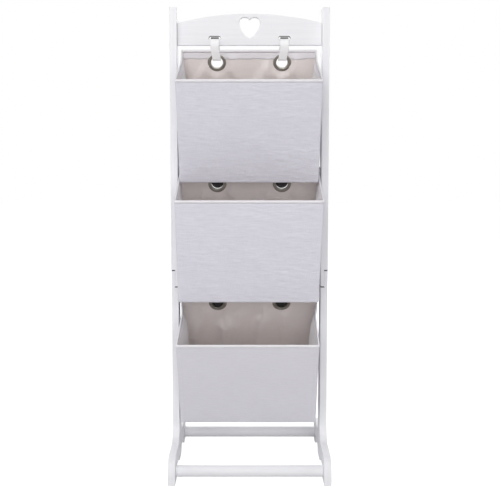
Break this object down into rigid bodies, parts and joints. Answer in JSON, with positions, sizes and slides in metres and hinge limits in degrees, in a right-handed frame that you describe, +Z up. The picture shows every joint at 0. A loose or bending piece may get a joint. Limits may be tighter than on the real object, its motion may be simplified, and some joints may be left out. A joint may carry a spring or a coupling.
{
  "type": "hanging basket storage rack",
  "caption": "Free-standing white wooden rack with an arched, heart-pierced headboard, carrying tilted fabric storage baskets that hang on webbing loops one above another.",
  "frame": {"origin": "on the floor, midway between the two sides and midway along the feet", "axes": "+X to the right seen from the front, +Y to the back, +Z up"},
  "size_m": [0.376, 0.364, 1.1],
  "materials": {
    "white_painted_wood": "satin",
    "zinc_steel": "satin",
    "pale_canvas": "matte",
    "beige_lining": "matte",
    "white_binding": "matte",
    "white_webbing": "matte",
    "stiffener_board": "matte",
    "grey_eyelet": "satin"
  },
  "bodies": {
    "frame": {"front_stretcher": "white_painted_wood", "headboard": "white_painted_wood", "headboard_screws": "zinc_steel", "lap_bolts": "zinc_steel", "lap_nuts": "zinc_steel", "left_leg": "white_painted_wood", "left_upper_post": "white_painted_wood", "lower_rail": "white_painted_wood", "middle_rail": "white_painted_wood", "rail_screws": "zinc_steel", "rear_stretcher": "white_painted_wood", "right_leg": "white_painted_wood", "right_upper_post": "white_painted_wood", "stretcher_screws": "zinc_steel"},
    "top_basket": {"top_basket_back_board": "stiffener_board", "top_basket_back_panel": "pale_canvas", "top_basket_base_board": "stiffener_board", "top_basket_base_panel": "pale_canvas", "top_basket_eyelet_rings": "grey_eyelet", "top_basket_eyelet_washers": "grey_eyelet", "top_basket_front_board": "stiffener_board", "top_basket_front_panel": "pale_canvas", "top_basket_left_panel": "pale_canvas", "top_basket_left_strap": "white_webbing", "top_basket_lining": "beige_lining", "top_basket_right_panel": "pale_canvas", "top_basket_right_strap": "white_webbing", "top_basket_rim_binding": "white_binding"},
    "middle_basket": {"middle_basket_back_board": "stiffener_board", "middle_basket_back_panel": "pale_canvas", "middle_basket_base_board": "stiffener_board", "middle_basket_base_panel": "pale_canvas", "middle_basket_eyelet_rings": "grey_eyelet", "middle_basket_eyelet_washers": "grey_eyelet", "middle_basket_front_board": "stiffener_board", "middle_basket_front_panel": "pale_canvas", "middle_basket_left_panel": "pale_canvas", "middle_basket_left_strap": "white_webbing", "middle_basket_lining": "beige_lining", "middle_basket_right_panel": "pale_canvas", "middle_basket_right_strap": "white_webbing", "middle_basket_rim_binding": "white_binding"},
    "bottom_basket": {"bottom_basket_back_board": "stiffener_board", "bottom_basket_back_panel": "pale_canvas", "bottom_basket_base_board": "stiffener_board", "bottom_basket_base_panel": "pale_canvas", "bottom_basket_eyelet_rings": "grey_eyelet", "bottom_basket_eyelet_washers": "grey_eyelet", "bottom_basket_front_board": "stiffener_board", "bottom_basket_front_panel": "pale_canvas", "bottom_basket_left_panel": "pale_canvas", "bottom_basket_left_strap": "white_webbing", "bottom_basket_lining": "beige_lining", "bottom_basket_right_panel": "pale_canvas", "bottom_basket_right_strap": "white_webbing", "bottom_basket_rim_binding": "white_binding"}
  },
  "joints": [
    {"name": "top_basket_swing", "type": "hinge", "parent": "frame", "child": "top_basket", "pos_m": [0, 0, 1.0135], "axis": [-1, 0, 0], "range_deg": [0, 20]},
    {"name": "middle_basket_swing", "type": "hinge", "parent": "frame", "child": "middle_basket", "pos_m": [0, 0.015, 0.71273], "axis": [-1, 0, 0], "range_deg": [0, 5]},
    {"name": "bottom_basket_swing", "type": "hinge", "parent": "frame", "child": "bottom_basket", "pos_m": [0, 0.01, 0.43214], "axis": [-1, 0, 0], "range_deg": [-10, 15]}
  ]
}
